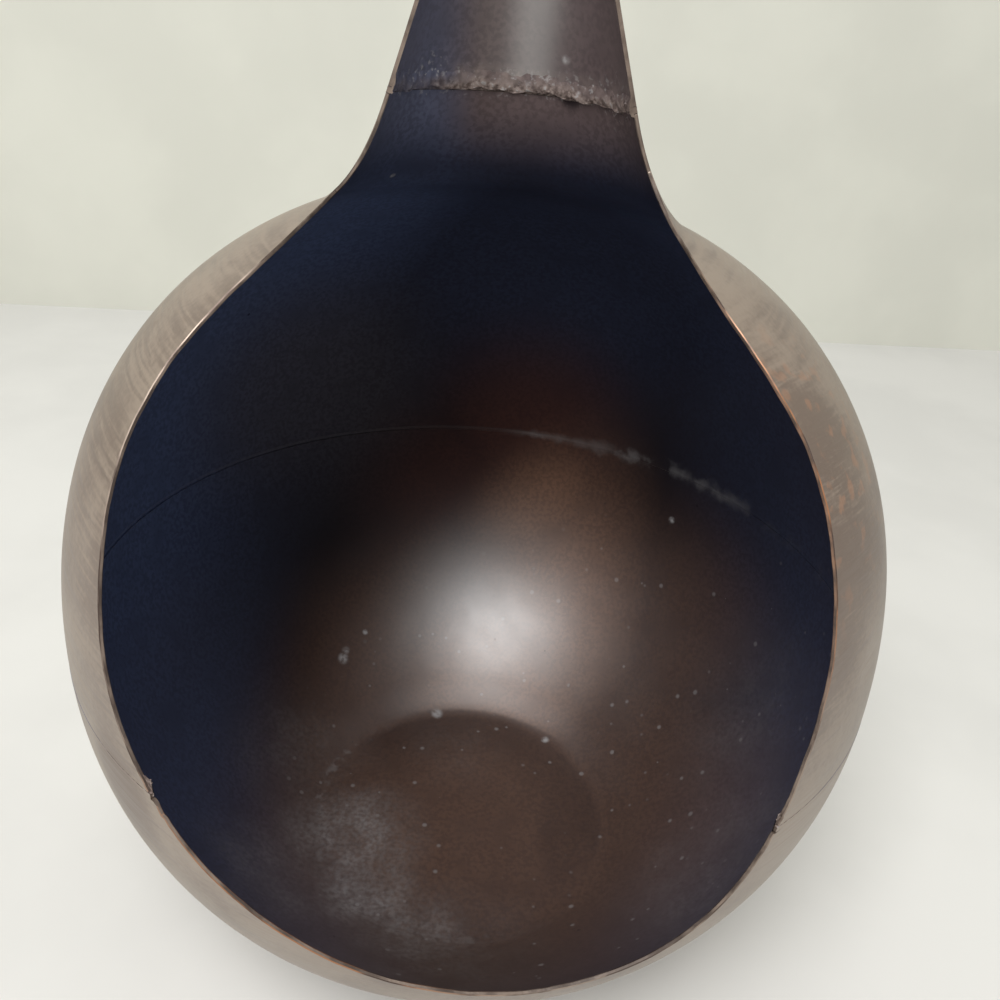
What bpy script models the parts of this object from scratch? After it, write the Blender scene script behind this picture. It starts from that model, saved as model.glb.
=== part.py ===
"""A gourd-shaped sheet-metal catchall bowl, in metres, standing on the origin with its mouth towards -Y.

Two spun half shells meet edge to edge at the widest level and a tapered stem meets the upper shell's
collar. Each joint is filled by its own weld bead. One cut, drawn as seen from the front, then opens
all five pieces together, square to the sheet: a wide mouth with a low lip that runs up into the stem
and leaves it a half-round trough.
"""

import math

import bmesh
import bpy
from mathutils import Matrix, Vector

# Shells
BODY_RADIUS = 0.090  # outside, at the seam
WALL = 0.00075  # sheet thickness of all three formed pieces
LOWER_DEPTH = 0.0883  # half height of the ellipse that the lower shell follows
FOOT_RADIUS = 0.0406  # flat pressed into the lower shell
UPPER_RISE = 0.0917  # half height of the fuller curve that the upper shell follows
SHOULDER_FULLNESS = 2.2  # exponent of that curve, 2 being an ellipse
SHOULDER_RADIUS = 0.0385  # where the shoulder starts to turn up into the collar
COLLAR_RISE = 0.0222  # from there up to the stem

# Stem
STEM_BASE_RADIUS = 0.0233
STEM_LENGTH = 0.0575
STEM_TIP_RADIUS = 0.005  # where the straight taper ends in a round nose

# Welds
CLEARANCE = 0.0003  # left between touching pieces
WELD_ROOT = 0.0007  # weld metal between the two edges
SEAM_BEAD_WIDTH = 0.0028
SEAM_BEAD_HEIGHT = 0.0006
NECK_BEAD_WIDTH = 0.0046
NECK_BEAD_HEIGHT = 0.0013

# Opening, as seen from the front
OPENING_HALF_WIDTH = 0.0622
OPENING_LEVEL = 0.0327  # its widest level, above the seam
LIP_DROP = 0.0661  # from the widest level down to the lip
LIP_SKEW = 0.0173  # how far the lip's lowest point lies to the right of the middle
LIP_SKEW_POWER = 2.6  # how quickly that shift fades on the way up
SIDE_HANDLE = 0.038  # how long the sides stay wide before they draw in
SIDE_LEAN = 0.0015  # how far both sides lean to the left on the way
NECK_HANDLE = 0.024  # how long they follow the collar's side before they meet it
MOUTH_ENTRY = 0.68  # how far up the collar's curve that is, from 0 to 1
CUTTER_MARGIN = 0.002  # how far the cutter reaches past what it cuts

# Facets
SEGMENTS = 56
LOWER_STEPS = 13
UPPER_STEPS = 11
COLLAR_STEPS = 7
TAPER_STEPS = 3
NOSE_STEPS = 4
BEAD_STEPS = 6
LIP_STEPS = 18
SIDE_STEPS = 18
SMOOTH_ANGLE = math.radians(35)
SAME_POINT = 1e-6

# Sizes that follow from those above
FOOT_ANGLE = -math.acos(FOOT_RADIUS / BODY_RADIUS)
SEAM_HEIGHT = -LOWER_DEPTH * math.sin(FOOT_ANGLE)
SHOULDER_SHARE = 1 - (SHOULDER_RADIUS / BODY_RADIUS) ** SHOULDER_FULLNESS
SHOULDER_HEIGHT = SEAM_HEIGHT + UPPER_RISE * SHOULDER_SHARE ** (1 / SHOULDER_FULLNESS)
NECK_HEIGHT = SHOULDER_HEIGHT + COLLAR_RISE
TAPER_END = NECK_HEIGHT + STEM_LENGTH
HALF_GAP = WELD_ROOT / 2 + CLEARANCE
CUT_DEPTH = WALL + CLEARANCE + max(SEAM_BEAD_HEIGHT, NECK_BEAD_HEIGHT) + CUTTER_MARGIN

# Both joints, as (radius, height) on the outer surface, and the direction of the sheet there
SEAM_JOINT = Vector((BODY_RADIUS, SEAM_HEIGHT))
SEAM_DIRECTION = Vector((0, 1))
NECK_JOINT = Vector((STEM_BASE_RADIUS, NECK_HEIGHT))
NECK_DIRECTION = Vector((STEM_TIP_RADIUS - STEM_BASE_RADIUS, STEM_LENGTH)).normalized()


def spread(start, end, steps):
    """Evenly spaced numbers from start to end, both included."""
    return [start + (end - start) * i / steps for i in range(steps + 1)]


def bezier(points, t):
    """The point at t, from 0 to 1, on the Bezier curve of any degree with these control points."""
    degree = len(points) - 1
    weights = [math.comb(degree, i) * t**i * (1 - t) ** (degree - i) for i in range(degree + 1)]
    return sum((w * p for w, p in zip(weights, points)), Vector((0, 0)))


def outward(direction):
    """The outer normal of a profile that runs upwards, seen at +X."""
    return Vector((direction.y, -direction.x)).normalized()


def offset_inwards(profile, distance):
    """The profile moved towards the inside by the sheet thickness, with mitred corners."""
    moved = []
    for i, point in enumerate(profile):
        before = profile[max(i - 1, 0) : i + 1]
        after = profile[i : i + 2]
        normals = [outward(run[1] - run[0]) for run in (before, after) if len(run) == 2]
        if point.x < SAME_POINT:
            normals = [Vector((0, math.copysign(1, normals[0].y)))]
        mitre = sum(normals, Vector((0, 0))).normalized()
        moved.append(point - mitre * (distance / mitre.dot(normals[0])))
    return moved


def lower_profile():
    """The flat foot, then the ellipse up to the seam."""
    top_angle = -math.asin(HALF_GAP / LOWER_DEPTH)
    side = [
        Vector((BODY_RADIUS * math.cos(a), SEAM_HEIGHT + LOWER_DEPTH * math.sin(a)))
        for a in spread(FOOT_ANGLE, top_angle, LOWER_STEPS)
    ]
    return [Vector((0, 0))] + side


def shoulder_radius(rise):
    """The upper shell's radius at a height above the seam."""
    return BODY_RADIUS * (1 - (rise / UPPER_RISE) ** SHOULDER_FULLNESS) ** (1 / SHOULDER_FULLNESS)


def collar_corner():
    """Where the shoulder's tangent meets the stem's straight side, produced downwards."""
    rise = SHOULDER_HEIGHT - SEAM_HEIGHT
    power = SHOULDER_FULLNESS - 1
    slope = -(BODY_RADIUS / UPPER_RISE) * (
        (rise / UPPER_RISE) / (SHOULDER_RADIUS / BODY_RADIUS)
    ) ** power
    taper = NECK_DIRECTION.x / NECK_DIRECTION.y
    drop = SHOULDER_RADIUS - STEM_BASE_RADIUS + taper * COLLAR_RISE
    climb = drop / (taper - slope)
    return Vector((SHOULDER_RADIUS + slope * climb, SHOULDER_HEIGHT + climb))


def collar_controls():
    """The control points of the collar's curve, smooth with the shoulder and with the stem."""
    start = Vector((SHOULDER_RADIUS, SHOULDER_HEIGHT))
    return [start, collar_corner(), NECK_JOINT - NECK_DIRECTION * HALF_GAP]


def upper_profile():
    """The shoulder from the seam, then the collar flaring up to the stem."""
    full_rise = SHOULDER_HEIGHT - SEAM_HEIGHT
    start = math.asin(HALF_GAP / full_rise)
    rises = [full_rise * math.sin(a) for a in spread(start, math.pi / 2, UPPER_STEPS)]
    shoulder = [Vector((shoulder_radius(rise), SEAM_HEIGHT + rise)) for rise in rises]
    return shoulder + [bezier(collar_controls(), t) for t in spread(0, 1, COLLAR_STEPS)[1:]]


def stem_profile():
    """The straight taper, closed by a round nose that leaves it without a corner."""
    base = NECK_JOINT + NECK_DIRECTION * HALF_GAP
    taper_end = Vector((STEM_TIP_RADIUS, TAPER_END))
    taper = [base.lerp(taper_end, t) for t in spread(0, 1, TAPER_STEPS)]
    start = math.atan2(-NECK_DIRECTION.x, NECK_DIRECTION.y)
    nose_radius = STEM_TIP_RADIUS / math.cos(start)
    centre = TAPER_END - nose_radius * math.sin(start)
    nose = [
        Vector((nose_radius * math.cos(a), centre + nose_radius * math.sin(a)))
        for a in spread(start, math.pi / 2, NOSE_STEPS)
    ]
    nose[-1].x = 0
    return taper + nose[1:]


def bead_profile(joint, direction, width, height):
    """Weld metal flush outside, through the gap between the edges, with a low crown inside."""
    normal = outward(direction)
    crown_foot = WALL + CLEARANCE
    section = [(-WELD_ROOT / 2, 0), (-WELD_ROOT / 2, crown_foot)]
    for a in spread(0, math.pi, BEAD_STEPS):
        section.append((-width / 2 * math.cos(a), crown_foot + height * math.sin(a)))
    section += [(WELD_ROOT / 2, crown_foot), (WELD_ROOT / 2, 0)]
    return [joint + direction * along - normal * depth for along, depth in section]


def sheet(profile):
    """The closed section of a formed sheet: up its outside and down its inside."""
    return profile + offset_inwards(profile, WALL)[::-1]


def turned(name, section):
    """The section, given at +X as (radius, height), spun round Z into one solid."""
    mesh = bpy.data.meshes.new(name)
    bm = bmesh.new()
    verts = [bm.verts.new((point.x, 0, point.y)) for point in section]
    pairs = zip(verts, verts[1:] + verts[:1])
    edges = [bm.edges.new((a, b)) for a, b in pairs if max(a.co.x, b.co.x) > SAME_POINT]
    bmesh.ops.spin(
        bm,
        geom=verts + edges,
        cent=(0, 0, 0),
        axis=(0, 0, 1),
        angle=math.tau,
        steps=SEGMENTS,
        use_merge=True,
    )
    bmesh.ops.remove_doubles(bm, verts=bm.verts, dist=SAME_POINT)
    # Half a facet of turn keeps every edge off the plane of the cut.
    half_facet = Matrix.Rotation(math.pi / SEGMENTS, 3, "Z")
    bmesh.ops.rotate(bm, verts=bm.verts, cent=(0, 0, 0), matrix=half_facet)
    bmesh.ops.recalc_face_normals(bm, faces=bm.faces)
    bm.to_mesh(mesh)
    bm.free()
    mesh.shade_smooth()
    mesh.set_sharp_from_angle(angle=SMOOTH_ANGLE)
    return add_object(name, mesh)


def add_object(name, mesh):
    obj = bpy.data.objects.new(name, mesh)
    bpy.context.scene.collection.objects.link(obj)
    return obj


def surface_at(outline, height):
    """Radius and outer normal of the whole body at a height, from its (radius, height) outline."""
    for low, high in zip(outline, outline[1:]):
        if low.y <= height <= high.y and high.y > low.y:
            return low.lerp(high, (height - low.y) / (high.y - low.y)).x, outward(high - low)
    return STEM_TIP_RADIUS, Vector((1, 0))


def mouth_outline():
    """(middle, half width, height) of the opening, from the lip up to where it meets the collar."""
    level = SEAM_HEIGHT + OPENING_LEVEL
    rows = []
    for a in spread(0, math.pi / 2, LIP_STEPS):
        middle = LIP_SKEW * math.cos(a) ** LIP_SKEW_POWER
        rows.append((middle, OPENING_HALF_WIDTH * math.sin(a), level - LIP_DROP * math.cos(a)))
    controls = collar_controls()
    entry = bezier(controls, MOUTH_ENTRY)
    along = bezier([controls[1] - controls[0], controls[2] - controls[1]], MOUTH_ENTRY).normalized()
    side = [
        Vector((OPENING_HALF_WIDTH, level)),
        Vector((OPENING_HALF_WIDTH, level + SIDE_HANDLE)),
        entry - along * NECK_HANDLE,
        entry,
    ]
    for t in spread(0, 1, SIDE_STEPS)[1:]:
        rows.append((-3 * t * (1 - t) * SIDE_LEAN, *bezier(side, t)))
    return rows


def across_sheet(radius, flat, height, normal):
    """Where the cut starts inside the sheet and ends outside it, square to it, at a point of the rim."""
    point = flat * radius + Vector((0, 0, height))
    square = flat * normal.x + Vector((0, 0, normal.y))
    return point - square * min(CUT_DEPTH, radius / 2), point + square * CUTTER_MARGIN


def rim_rows():
    """The cut across the sheet on the left and on the right, from the lip to past the stem's end."""
    outline = lower_profile() + upper_profile() + stem_profile()
    rows = []
    for middle, half, height in mouth_outline():
        radius, normal = surface_at(outline, height)
        turns = [math.acos(max(-1, min(1, x / radius))) for x in (middle - half, middle + half)]
        flats = [Vector((math.cos(turn), -math.sin(turn), 0)) for turn in turns]
        rows.append([across_sheet(radius, flat, height, normal) for flat in flats])
    trough = [p.y for p in outline if height < p.y <= TAPER_END] + [outline[-1].y + CUTTER_MARGIN]
    for level in trough:
        radius, _ = surface_at(outline, level)
        sides = (Vector((-1, 0, 0)), Vector((1, 0, 0)))
        rows.append([across_sheet(radius, side, level, Vector((1, 0))) for side in sides])
    return rows


def opening_cutter():
    """What the cut takes away: walls square to the sheet along the rim, and all in front of them."""
    front = -(BODY_RADIUS + CUT_DEPTH)
    bm = bmesh.new()
    loops = []
    for (left_in, left_out), (right_in, right_out) in rim_rows():
        left_front = Vector((left_out.x, front, left_out.z))
        right_front = Vector((right_out.x, front, right_out.z))
        corners = (left_in, left_out, left_front, right_front, right_out, right_in)
        loops.append([bm.verts.new(corner) for corner in corners])
    for low, high in zip(loops, loops[1:]):
        for i in range(len(low)):
            bm.faces.new((low[i - 1], low[i], high[i], high[i - 1]))
    bm.faces.new(loops[0])
    bm.faces.new(loops[-1])
    bmesh.ops.remove_doubles(bm, verts=bm.verts, dist=SAME_POINT)
    bmesh.ops.triangulate(bm, faces=bm.faces)
    bmesh.ops.recalc_face_normals(bm, faces=bm.faces)
    mesh = bpy.data.meshes.new("opening_cutter")
    bm.to_mesh(mesh)
    bm.free()
    cutter = add_object("opening_cutter", mesh)
    cutter.hide_render = True
    cutter.display_type = "WIRE"
    return cutter


def cut_open(obj, cutter):
    boolean = obj.modifiers.new("opening", "BOOLEAN")
    boolean.operation = "DIFFERENCE"
    boolean.solver = "EXACT"
    boolean.object = cutter


def metal(name, colour, roughness):
    material = bpy.data.materials.new(name)
    material.use_nodes = True
    shader = material.node_tree.nodes["Principled BSDF"]
    shader.inputs["Base Color"].default_value = (*colour, 1)
    shader.inputs["Metallic"].default_value = 1
    shader.inputs["Roughness"].default_value = roughness
    return material


def main():
    for obj in list(bpy.data.objects):
        bpy.data.objects.remove(obj)

    shell_metal = metal("dark_bronze_patina", (0.075, 0.055, 0.045), 0.42)
    stem_metal = metal("dark_bronze_stem", (0.085, 0.062, 0.052), 0.40)
    weld_metal = metal("raw_weld", (0.16, 0.14, 0.125), 0.55)

    seam_bead = bead_profile(SEAM_JOINT, SEAM_DIRECTION, SEAM_BEAD_WIDTH, SEAM_BEAD_HEIGHT)
    neck_bead = bead_profile(NECK_JOINT, NECK_DIRECTION, NECK_BEAD_WIDTH, NECK_BEAD_HEIGHT)
    pieces = [
        (turned("lower_shell", sheet(lower_profile())), shell_metal),
        (turned("upper_shell", sheet(upper_profile())), shell_metal),
        (turned("stem", sheet(stem_profile())), stem_metal),
        (turned("seam_weld", seam_bead), weld_metal),
        (turned("neck_weld", neck_bead), weld_metal),
    ]
    bowl = bpy.data.objects.new("catchall_bowl", None)
    bpy.context.scene.collection.objects.link(bowl)
    cutter = opening_cutter()
    cutter.parent = bowl
    for obj, material in pieces:
        obj.data.materials.append(material)
        obj.parent = bowl
        cut_open(obj, cutter)


main()
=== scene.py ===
"""Finished meshes, metal finishes and studio stage of a gourd-shaped sheet-metal catchall bowl.

Laid out as an add-on: each operator makes one piece or the stage, and main() calls them in order. The
five pieces are sections spun about the upright axis by one Geometry Nodes tree, which also gives the
sheet its hand-made unevenness and the welds their ripples. A second tree strews crust on the welds.
"""

import functools
import math
from collections import namedtuple

import bmesh
import bpy
from bpy.props import FloatProperty, FloatVectorProperty, IntProperty, PointerProperty
from mathutils import Matrix, Vector


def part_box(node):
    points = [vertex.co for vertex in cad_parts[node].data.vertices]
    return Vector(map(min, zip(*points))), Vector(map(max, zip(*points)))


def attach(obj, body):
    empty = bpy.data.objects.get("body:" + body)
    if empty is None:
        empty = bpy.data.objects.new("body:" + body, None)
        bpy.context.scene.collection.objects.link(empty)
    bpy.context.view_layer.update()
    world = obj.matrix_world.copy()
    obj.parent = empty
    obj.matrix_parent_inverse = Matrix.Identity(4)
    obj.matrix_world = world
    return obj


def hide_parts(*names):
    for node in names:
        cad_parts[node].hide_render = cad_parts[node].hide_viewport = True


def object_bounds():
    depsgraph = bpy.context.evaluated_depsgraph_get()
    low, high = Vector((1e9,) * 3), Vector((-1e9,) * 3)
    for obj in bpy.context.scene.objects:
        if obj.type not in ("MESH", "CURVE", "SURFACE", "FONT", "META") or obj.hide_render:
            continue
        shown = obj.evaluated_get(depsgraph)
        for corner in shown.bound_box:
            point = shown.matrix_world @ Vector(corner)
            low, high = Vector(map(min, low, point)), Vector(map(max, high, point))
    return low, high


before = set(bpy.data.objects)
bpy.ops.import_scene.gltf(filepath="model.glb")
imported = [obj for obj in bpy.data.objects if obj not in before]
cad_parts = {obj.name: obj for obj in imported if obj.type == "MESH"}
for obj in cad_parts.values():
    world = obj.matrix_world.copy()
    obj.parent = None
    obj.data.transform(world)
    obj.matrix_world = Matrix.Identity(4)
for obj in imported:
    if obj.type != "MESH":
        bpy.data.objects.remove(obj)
CAD_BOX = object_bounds()

bl_info = {
    "name": "Gourd Catchall Bowl",
    "version": (1, 0, 0),
    "blender": (4, 5, 0),
    "location": "3D View > Sidebar > Catchall",
    "description": "Builds the finished meshes and patinas of a gourd-shaped sheet-metal catchall bowl",
    "category": "Add Mesh",
}

_, SHELL_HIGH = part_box("lower_shell")
SEAM_LOW, SEAM_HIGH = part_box("seam_weld")
SEAM_LEVEL = (SEAM_LOW.z + SEAM_HIGH.z) / 2

DENT_ROOM = 0.00005  # kept between the finished sheet and the solid's outside
SAME_POINT = 1e-6
QUARTER = math.pi / 2

# Facets of the finished meshes
BACK_COLUMNS = 210
FRONT_COLUMNS = 130
FLAT_ROWS = 16
SIDE_ROWS = 26
LIP_ROWS = 44
MOUTH_ROWS = 40
ENTRY_ROWS = 64
COLLAR_ROWS = 12
STEM_ROWS = 40
NOSE_ROWS = 12
STEM_COLUMNS = 72
BEAD_POINTS = 22
SEAM_BEAD_COLUMNS = 700
NECK_BEAD_COLUMNS = 190
SECTION_STEPS = 160

# Crust on the welds, in grains per square metre
SEAM_CRUST = 2.5e5
NECK_CRUST = 1.5e5

# Places that the patina follows
FOOT_RADIUS = 0.04  # edge of the flat foot
NECK_LEVEL = 0.1878  # height of the neck weld

SENSOR_WIDTH = 36  # of the camera, in millimetres


def metres(name, description, default):
    """A length that a user would change."""
    return FloatProperty(name=name, description=description, default=default, unit="LENGTH", precision=5)


def tint(name, description, default):
    """A colour that a user would change."""
    return FloatVectorProperty(name=name, description=description, default=default, subtype="COLOR", size=3)


class BodySizes(bpy.types.PropertyGroup):
    """The formed sheets"""

    body_radius: metres("Body Radius", "Outside of the body at the seam", SHELL_HIGH.x - DENT_ROOM)
    seam_height: metres(
        "Seam Height", "Height of the widest level, where the two shells meet", SEAM_LEVEL
    )
    wall: metres("Sheet", "Thickness of all three formed sheets", 0.00075)
    lower_depth: metres("Lower Depth", "Half height of the ellipse that the lower shell follows", 0.0883)
    foot_edge: metres(
        "Foot Edge", "How far the rounding of the foot's edge reaches to each side of it", 0.0018
    )
    upper_rise: metres(
        "Upper Rise", "Half height of the fuller curve that the upper shell follows", 0.0917
    )
    shoulder_fullness: FloatProperty(
        name="Shoulder Fullness",
        description="Exponent of the upper curve, 2 being an ellipse",
        default=2.2,
    )
    shoulder_radius: metres(
        "Shoulder Radius", "Where the shoulder starts to turn up into the collar", 0.0385
    )
    collar_rise: metres("Collar Rise", "From the end of the shoulder up to the stem", 0.0222)
    stem_radius: metres("Stem Radius", "Outside of the stem at its base", 0.0233)
    stem_length: metres("Stem Length", "Length of the stem's straight taper", 0.0575)
    tip_radius: metres("Tip Radius", "Outside of the stem where its taper ends in a round nose", 0.005)
    dent_depth: metres("Dent Depth", "Deepest hand-made unevenness of the sheet", 0.00025)
    dent_size: metres("Dent Size", "Width of that unevenness", 0.03)
    worn_edge: metres("Worn Edge", "Width of the chamfer worn along the cut edge", 0.00016)
    seed: IntProperty(name="Seed", description="Seed of the unevenness", default=4)


class MouthSizes(bpy.types.PropertyGroup):
    """The hand-cut opening, as seen from the front"""

    half_width: metres("Half Width", "Half of the opening's greatest width", 0.0622)
    level: metres("Level", "Height of the greatest width above the seam", 0.0327)
    lip_drop: metres("Lip Drop", "From that level down to the lip", 0.0661)
    lip_skew: metres("Lip Skew", "How far the lip's lowest point lies to the right of the middle", 0.0173)
    skew_power: FloatProperty(
        name="Skew Fade",
        description="How quickly that shift fades on the way up",
        default=2.6,
    )
    side_handle: metres("Side Handle", "How long the sides stay wide before they draw in", 0.038)
    side_lean: metres("Side Lean", "How far both sides lean to the left on the way up", 0.0015)
    neck_handle: metres("Neck Handle", "How long the sides follow the collar before they meet it", 0.024)
    entry: FloatProperty(
        name="Entry",
        description="Where the sides meet the collar, as a share of its curve",
        default=0.68,
        subtype="FACTOR",
    )
    wobble: metres("Hand Wobble", "How far the hand cut strays from its line", 0.00028)
    burr: metres("Burr", "How far the cut is torn where it crosses the seam", 0.0005)


class WeldSizes(bpy.types.PropertyGroup):
    """The two welds"""

    gap: metres("Gap", "Left between the edges of two sheets and filled by the weld", 0.0013)
    seam_width: metres("Seam Bead Width", "Width of the crown inside the seam", 0.0026)
    seam_height: metres("Seam Bead Height", "Height of the crown inside the seam", 0.0002)
    neck_width: metres("Neck Bead Width", "Width of the crown inside the neck", 0.0044)
    neck_height: metres("Neck Bead Height", "Height of the crown inside the neck", 0.0013)
    neck_lean: FloatProperty(
        name="Neck Bead Lean",
        description="How far the neck bead's crest leans to its lower edge",
        default=0.5,
        subtype="FACTOR",
    )
    neck_lift: metres(
        "Neck Bead Lift", "How far the neck bead's crown lies above the joint behind", 0.0015
    )
    end_flare: FloatProperty(
        name="End Flare",
        description="How far each end of the seam bead spreads where the cut crosses it",
        default=1.6,
    )
    ripple: metres("Ripple", "Length of one ripple along a bead", 0.0021)
    seam_lump: metres("Seam Lumps", "Height of the lumps along the seam bead", 0.0002)
    neck_lump: metres("Neck Lumps", "Height of the lumps along the neck bead", 0.0011)
    seam_grain: metres("Seam Grain", "Radius of the grains of crust on the seam bead", 0.00025)
    neck_grain: metres("Neck Grain", "Radius of the grains of crust on the neck bead", 0.00022)
    seed: IntProperty(name="Seed", description="Seed of the crust", default=11)


class FinishColours(bpy.types.PropertyGroup):
    """The patinas, with the painted light, shade and reflection inside"""

    # Painted light: laid where light falls, low at the back and on the bottom.
    inner_brown: tint(
        "Inner Brown", "Patina at the back and on the bottom of the bowl", (0.198, 0.106, 0.067)
    )
    # Painted reflection: bluish sky light glancing off the inner sides towards the rim.
    inner_blue: tint(
        "Inner Blue", "Blue-black tone of the patina on the inner sides", (0.106, 0.146, 0.282)
    )
    # Also laid as painted shade over the inside away from the painted light; the lining's pits and mottle
    # use it too.
    inner_black: tint("Inner Black", "Darkest tone of the patina inside", (0.012, 0.009, 0.0115))
    # Painted light: a redder glow round the painted light at the back.
    inner_russet: tint("Inner Russet", "Redder tone of the patina above the seam", (0.072, 0.030, 0.022))
    inner_slate: tint(
        "Inner Slate", "Greyer tone of the patina at the left, behind", (0.090, 0.084, 0.099)
    )
    # Painted reflection: bluish sky light glancing off the left of the neck.
    stem_blue: tint(
        "Stem Blue", "Blue-black tone of the patina at the left of the neck", (0.124, 0.134, 0.202)
    )
    stem_brown: tint("Stem Brown", "Patina inside the collar and the stem", (0.134, 0.099, 0.098))
    outer_taupe: tint("Outer Taupe", "Rubbed patina on the outside", (0.250, 0.193, 0.147))
    outer_dark: tint("Outer Dark", "Darker spin marks on the outside", (0.138, 0.095, 0.070))
    copper: tint("Copper", "Coppery metal where the patina is worn through", (0.36, 0.17, 0.085))
    bare_metal: tint("Bare Metal", "Pale metal on the rubbed corners of the cut", (0.31, 0.245, 0.20))
    cut_scale: tint("Cut Scale", "Dark scale on the face of the cut", (0.075, 0.053, 0.042))
    cut_rubbed: tint("Cut Rubbed", "Rubbed spots on the face of the cut", (0.23, 0.175, 0.14))
    corner_scale: tint("Corner Scale", "Dark scale left on the corners of the cut", (0.08, 0.055, 0.045))
    weld_brown: tint("Weld Brown", "Hollows of the welds", (0.105, 0.076, 0.067))
    weld_tan: tint("Weld Tan", "Lighter crests of the welds", (0.270, 0.212, 0.190))
    dust: tint("Dust", "Grey dust and scuffs inside the bowl", (0.42, 0.41, 0.41))


class StageSettings(bpy.types.PropertyGroup):
    """Floor, backdrop, light and camera"""

    floor_colour: tint("Floor", "Colour of the floor", (0.76, 0.755, 0.73))
    backdrop_colour: tint("Backdrop", "Colour of the backdrop", (0.72, 0.72, 0.645))
    backdrop_distance: metres(
        "Backdrop Distance", "From the bowl's axis back to the foot of the backdrop", 0.433
    )
    backdrop_turn: FloatProperty(
        name="Backdrop Turn",
        description="How far the backdrop is turned about the upright axis",
        default=math.radians(6.5),
        subtype="ANGLE",
    )
    lamp_power: FloatProperty(
        name="Lamp Power",
        description="Power of the soft lamp above and behind the camera",
        default=9.8,
        unit="POWER",
    )
    lamp_side: metres("Lamp Side", "Side length of the soft lamp", 0.58)
    lamp_place: FloatVectorProperty(
        name="Lamp Place",
        description="Middle of the soft lamp",
        default=(-0.17, -0.575, 0.935),
        subtype="TRANSLATION",
        size=3,
    )
    sky_colour: tint("Sky", "Colour of the even light from all round", (1.0, 0.99, 0.97))
    sky_strength: FloatProperty(
        name="Sky Strength",
        description="Strength of that light",
        default=0.55,
    )
    camera_place: FloatVectorProperty(
        name="Camera Place",
        description="Where the photograph was taken from",
        default=(0.00394, -0.18535, 0.2030),
        subtype="TRANSLATION",
        size=3,
    )
    camera_pitch: FloatProperty(
        name="Camera Pitch",
        description="How far the camera looks down",
        default=math.radians(28.67),
        subtype="ANGLE",
    )
    camera_roll: FloatProperty(
        name="Camera Roll",
        description="How far the camera is tilted to its side",
        default=math.radians(4.77),
        subtype="ANGLE",
    )
    lens: FloatProperty(name="Lens", description="Focal length in millimetres", default=33.3)


# Sections


def spread(start, end, steps):
    """Evenly spaced numbers from start to end, both included."""
    return [start + (end - start) * i / steps for i in range(steps + 1)]


def smooth_step(low, high, value):
    t = min(max((value - low) / (high - low), 0), 1)
    return t * t * (3 - 2 * t)


def bezier(points, t):
    """The point at t, from 0 to 1, on the Bezier curve of any degree with these control points."""
    degree = len(points) - 1
    weights = [math.comb(degree, i) * t**i * (1 - t) ** (degree - i) for i in range(degree + 1)]
    return sum((w * p for w, p in zip(weights, points)), Vector((0, 0)))


class Section:
    """A line of (radius, height) points, measured along its length."""

    def __init__(self, points):
        self.points = points
        self.lengths = [0]
        for low, high in zip(points, points[1:]):
            self.lengths.append(self.lengths[-1] + (high - low).length)

    @property
    def length(self):
        return self.lengths[-1]

    def at_height(self, height):
        """(length along the section, radius) where it reaches a height."""
        for i, (low, high) in enumerate(zip(self.points, self.points[1:])):
            if high.y > low.y and height <= high.y:
                share = max((height - low.y) / (high.y - low.y), 0)
                along = self.lengths[i] + share * (self.lengths[i + 1] - self.lengths[i])
                return along, low.lerp(high, share).x
        return self.length, self.points[-1].x

    def as_curve(self, name):
        """The section as a poly curve in the XZ plane, for the spinning tree to sample."""
        curve = bpy.data.curves.new(name, "CURVE")
        curve.dimensions = "3D"
        spline = curve.splines.new("POLY")
        spline.points.add(len(self.points) - 1)
        for spot, point in zip(spline.points, self.points):
            spot.co = (point.x, 0, point.y, 1)
        return add_object(name, curve)


def lower_section(body, half_gap):
    """The flat foot, its rounded edge, then the ellipse up to the seam."""

    def side(angle):
        return Vector((
            body.body_radius * math.cos(angle),
            body.seam_height + body.lower_depth * math.sin(angle),
        ))

    corner_angle = -math.asin(body.seam_height / body.lower_depth)
    corner = side(corner_angle)
    start_angle = corner_angle + body.foot_edge / body.lower_depth
    start = side(start_angle)
    rise = body.lower_depth * math.cos(start_angle)
    run = -body.body_radius * math.sin(start_angle)
    meeting = Vector((start.x - start.y * run / rise, 0))
    flat_end = Vector((corner.x - body.foot_edge, 0))
    edge = [bezier([flat_end, meeting, start], t) for t in spread(0, 1, FLAT_ROWS)]
    end_angle = -math.asin(half_gap / body.lower_depth)
    wall = [side(a) for a in spread(start_angle, end_angle, SECTION_STEPS)]
    return Section([Vector((0, 0))] + edge + wall[1:])


def shoulder_rise(body):
    share = 1 - (body.shoulder_radius / body.body_radius) ** body.shoulder_fullness
    return body.upper_rise * share ** (1 / body.shoulder_fullness)


def neck_height(body):
    return body.seam_height + shoulder_rise(body) + body.collar_rise


def stem_direction(body):
    return Vector((body.tip_radius - body.stem_radius, body.stem_length)).normalized()


def collar_controls(body, half_gap):
    """The control points of the collar's curve, smooth with the shoulder and with the stem."""
    rise = shoulder_rise(body)
    steepness = (rise / body.upper_rise) / (body.shoulder_radius / body.body_radius)
    slope = -(body.body_radius / body.upper_rise) * steepness ** (body.shoulder_fullness - 1)
    along = stem_direction(body)
    taper = along.x / along.y
    climb = (body.shoulder_radius - body.stem_radius + taper * body.collar_rise) / (taper - slope)
    start = Vector((body.shoulder_radius, body.seam_height + rise))
    corner = start + Vector((slope * climb, climb))
    joint = Vector((body.stem_radius, neck_height(body)))
    return [start, corner, joint - along * half_gap]


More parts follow.
